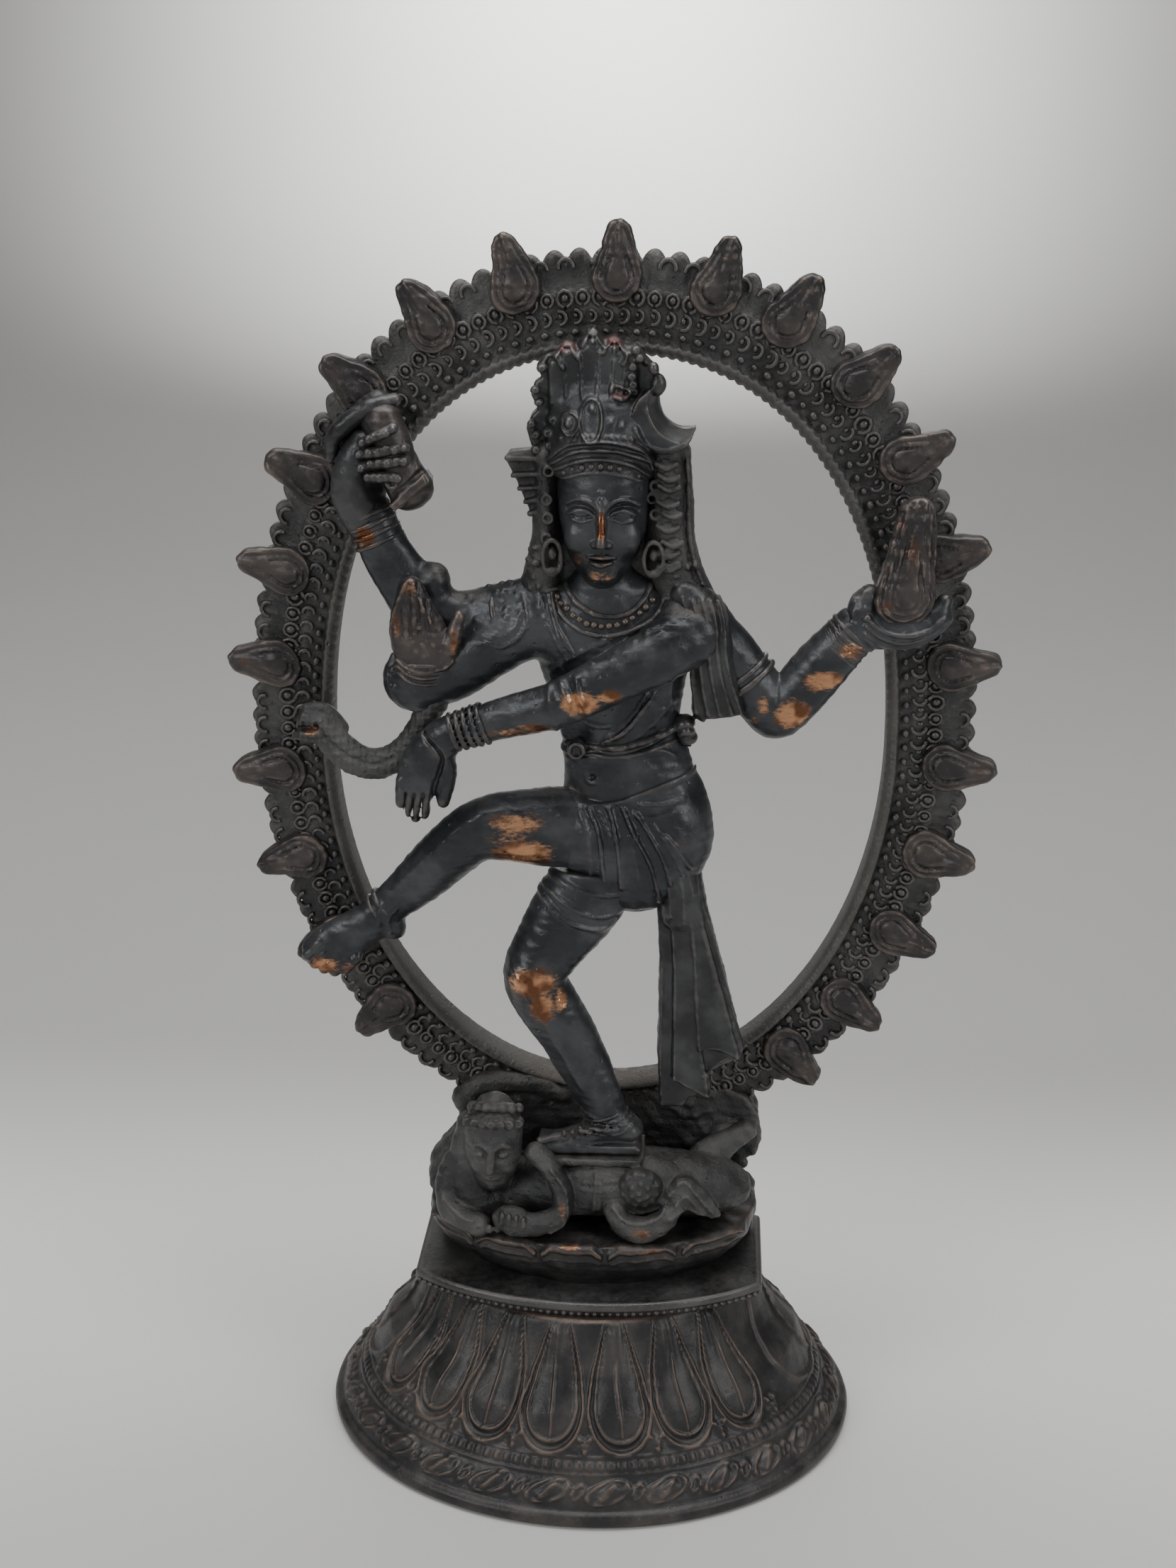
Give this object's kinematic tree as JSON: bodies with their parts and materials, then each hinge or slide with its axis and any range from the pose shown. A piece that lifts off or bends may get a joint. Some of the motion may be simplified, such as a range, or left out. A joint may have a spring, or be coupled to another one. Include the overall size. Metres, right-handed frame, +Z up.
{
  "type": "nataraja statue",
  "caption": "Cast brass nataraja in black patina: a four-armed dancer inside a beaded ring of flames, on a dwarf, a lotus seat and a hollow oval lotus pedestal.",
  "frame": {"origin": "middle of the pedestal's oval foot, on the floor", "axes": "+Z up; the dancer faces -Y; +X is to the viewer's right when the dancer is seen from the front, which is the dancer's left"},
  "size_m": [0.1323, 0.083, 0.2144],
  "materials": {
    "dark_patina": "black to green-grey patina over cast brass, satin, rubbed to copper on high points",
    "brown_patina": "dark brown patina over cast brass, satin, rubbed to copper on the edges",
    "steel_hardware": "zinc plated, dull"
  },
  "bodies": {
    "root": {"pedestal_dome": "dark_patina", "lotus_petals": "dark_patina", "foot_rim": "dark_patina", "collar_plate": "dark_patina", "tie_bolt": "steel_hardware", "tie_washer": "steel_hardware", "lotus_seat": "dark_patina", "seat_back_plate": "dark_patina", "dwarf_body": "dark_patina", "dwarf_head": "dark_patina", "dwarf_arms": "dark_patina", "dwarf_legs": "dark_patina", "arch_band": "dark_patina", "arch_scalloped_edge": "dark_patina", "arch_flames": "brown_patina", "hips_and_skirt": "dark_patina", "torso": "dark_patina", "head": "dark_patina", "crown": "dark_patina", "crown_feathers": "dark_patina", "crescent_moon": "dark_patina", "hair_fan": "dark_patina", "hair_locks_right": "dark_patina", "hair_locks_left": "dark_patina", "earrings": "dark_patina", "necklace": "dark_patina", "sacred_thread": "dark_patina", "waist_belt": "dark_patina", "waist_knot": "dark_patina", "shoulder_scarf": "dark_patina", "rear_right_arm": "dark_patina", "rear_right_hand": "dark_patina", "hand_drum": "brown_patina", "rear_left_arm": "dark_patina", "rear_left_hand": "dark_patina", "hand_flame": "brown_patina", "front_right_arm": "dark_patina", "front_right_hand": "brown_patina", "serpent": "dark_patina", "front_left_arm": "dark_patina", "front_left_hand": "dark_patina", "armlets": "dark_patina", "wrist_bangles": "dark_patina", "raised_leg": "dark_patina", "raised_foot": "dark_patina", "standing_leg": "dark_patina", "standing_foot": "dark_patina", "anklets": "dark_patina", "hanging_sash": "dark_patina"}
  },
  "joints": []
}
